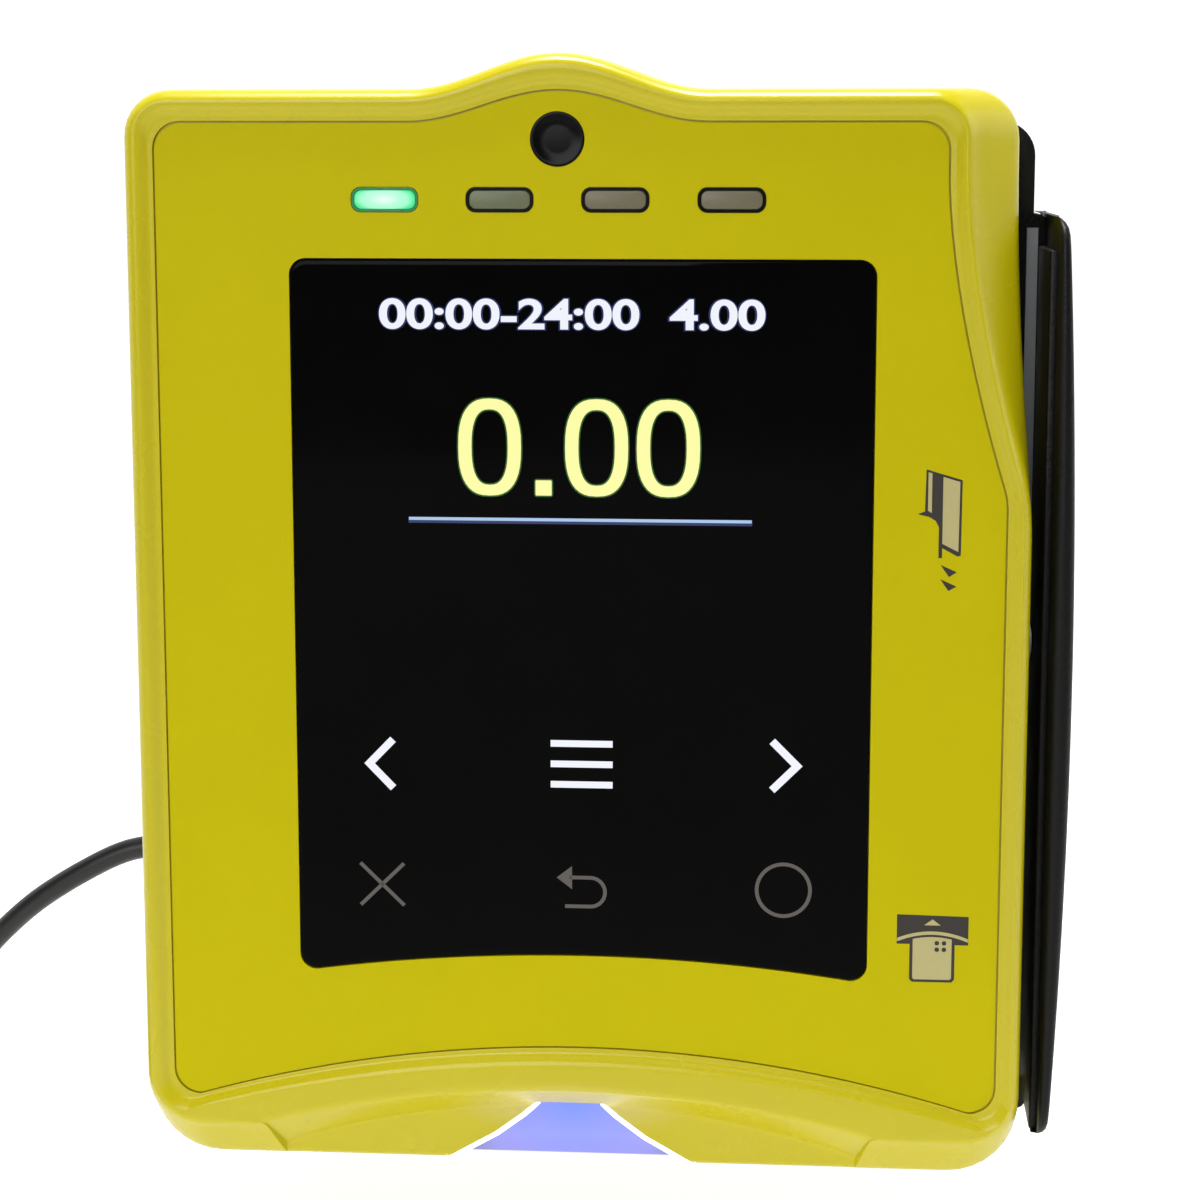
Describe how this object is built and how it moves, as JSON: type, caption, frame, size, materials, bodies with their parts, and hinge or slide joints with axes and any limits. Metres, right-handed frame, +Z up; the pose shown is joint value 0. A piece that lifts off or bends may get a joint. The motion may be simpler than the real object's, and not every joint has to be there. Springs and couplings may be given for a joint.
{
  "type": "parking pay station",
  "caption": "Panel-mounted card payment terminal of a pay station: yellow face with touch screen, chip-card mouth and swipe slot, black rear housing, studs and a coiled antenna lead.",
  "frame": {"origin": "centre of the four mounting studs, on the back face of the rear housing", "axes": "+X to the right seen from the front, +Y out of the back along the studs, +Z up the face"},
  "size_m": [0.1945, 0.0715, 0.1415],
  "materials": {
    "yellow_shell": "satin moulded, glossier on the rim",
    "yellow_film": "satin printed film",
    "touch_glass": "polished near-black glass, opaque over the display",
    "black_shell": "fine-grained",
    "black_trim": "gloss",
    "dark_plastic": "matte",
    "grey_plastic": "matte",
    "white_plastic": "satin",
    "window_plastic": "diffusing, lit from behind",
    "clear_guide": "translucent, lit blue-violet",
    "display_cell": "dark laminated glass",
    "circuit_board": "solder mask gloss",
    "flex_film": "polyimide film",
    "ribbon": "flat",
    "gasket": "soft",
    "lead_jacket": "smooth jacket",
    "steel": "zinc plated",
    "stamped_steel": "stamped sheet",
    "polished_steel": "polished",
    "gold_brass": "gold plated"
  },
  "bodies": {
    "terminal": {"front_housing": "yellow_shell", "front_inlay": "yellow_film", "touch_glass": "touch_glass", "glass_gasket": "gasket", "lcd_panel": "display_cell", "lcd_backlight": "white_plastic", "lcd_flex": "flex_film", "nfc_antenna": "circuit_board", "light_pipes": "window_plastic", "led_board": "circuit_board", "status_leds": "white_plastic", "sensor_window": "black_trim", "sensor_module": "dark_plastic", "chip_reader_body": "dark_plastic", "lever_pin": "steel", "card_switch": "dark_plastic", "mouth_light_guide": "clear_guide", "guide_leds": "white_plastic", "reader_screws": "steel", "main_board": "circuit_board", "board_screws": "steel", "shield_can": "stamped_steel", "coin_cell_holder": "dark_plastic", "coin_cell": "polished_steel", "buzzer": "black_trim", "tamper_switches": "dark_plastic", "tamper_plungers": "white_plastic", "board_ribbon": "ribbon", "head_leaf_spring": "stamped_steel", "head_bracket": "dark_plastic", "head_screws": "steel", "swipe_rail": "black_shell", "rail_screws": "steel", "wear_strip": "stamped_steel", "rear_housing": "black_shell", "housing_gasket": "gasket", "housing_screws": "steel", "mounting_studs": "steel", "io_board": "circuit_board", "io_screws": "steel", "modem": "stamped_steel", "sim_holder": "stamped_steel", "sim_card": "white_plastic", "sim_door_pin": "steel", "harness_socket": "black_trim", "service_switch": "stamped_steel", "antenna_jack": "gold_brass", "antenna_pigtail": "lead_jacket", "antenna_plug": "gold_brass", "antenna_lead": "lead_jacket", "antenna_lead_coil": "lead_jacket", "antenna_lead_tail": "lead_jacket", "lead_tie": "black_trim", "lead_connector": "gold_brass"},
    "mag_head": {"mag_head": "polished_steel"},
    "contact_carriage": {"contact_carriage": "dark_plastic", "card_contacts": "gold_brass"},
    "switch_lever": {"card_switch_lever": "white_plastic"},
    "sim_door": {"sim_door": "black_shell"},
    "service_button": {"service_button": "grey_plastic"}
  },
  "joints": [
    {"name": "head_travel", "type": "slide", "parent": "terminal", "child": "mag_head", "axis": [-1, 0, 0], "range_m": [0, 0.0008], "stiffness_N_per_m": 1500},
    {"name": "carriage_travel", "type": "slide", "parent": "terminal", "child": "contact_carriage", "axis": [0, 0, 1], "range_m": [0, 0.002], "stiffness_N_per_m": 300},
    {"name": "lever_swing", "type": "hinge", "parent": "terminal", "child": "switch_lever", "pos_m": [0.0148, -0.0416, -0.019], "axis": [1, 0, 0], "range_deg": [0, 6], "stiffness_Nm_per_rad": 0.01},
    {"name": "sim_door_hinge", "type": "hinge", "parent": "terminal", "child": "sim_door", "pos_m": [-0.0284, -0.0012, 0.0275], "axis": [0, 0, 1], "range_deg": [0, 95]},
    {"name": "service_button_press", "type": "slide", "parent": "terminal", "child": "service_button", "axis": [0, -1, 0], "range_m": [0, 0.0008], "stiffness_N_per_m": 2000}
  ]
}
